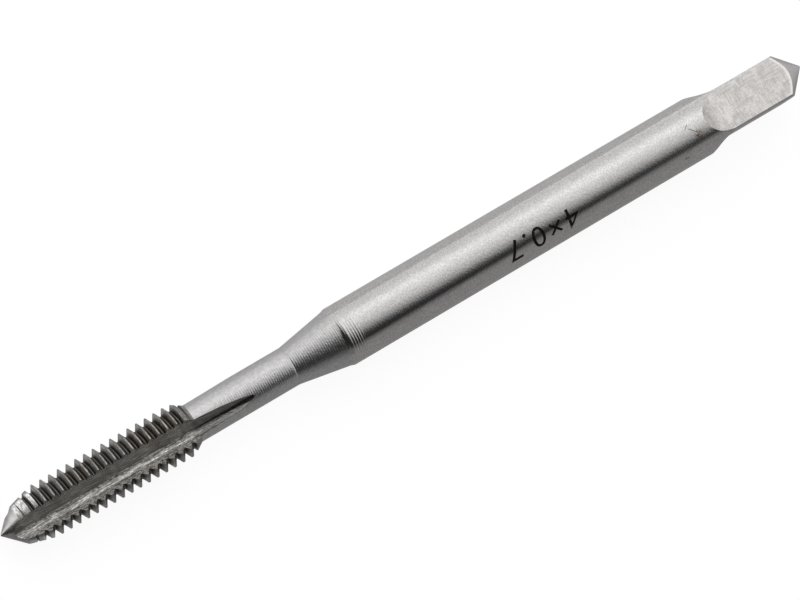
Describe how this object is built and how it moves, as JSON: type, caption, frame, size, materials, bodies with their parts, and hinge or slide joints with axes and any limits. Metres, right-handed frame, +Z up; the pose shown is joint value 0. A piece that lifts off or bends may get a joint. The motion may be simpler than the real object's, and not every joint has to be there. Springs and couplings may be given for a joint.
{
  "type": "thread tap",
  "caption": "Straight-fluted machine tap with a right-hand cutting thread, relieved neck, thicker ground shank, square drive end and a male centre at each end.",
  "frame": {"origin": "centre of the bounding box's bottom face, under the axis, with the tap lying on its shank", "axes": "+X along the axis from the cutting end to the square end, +Z up, square to one flat of the drive square"},
  "size_m": [0.0674, 0.0044, 0.0045],
  "materials": {
    "high_speed_steel": "ground and satin"
  },
  "bodies": {
    "root": {"thread_tap": "high_speed_steel"}
  },
  "joints": []
}
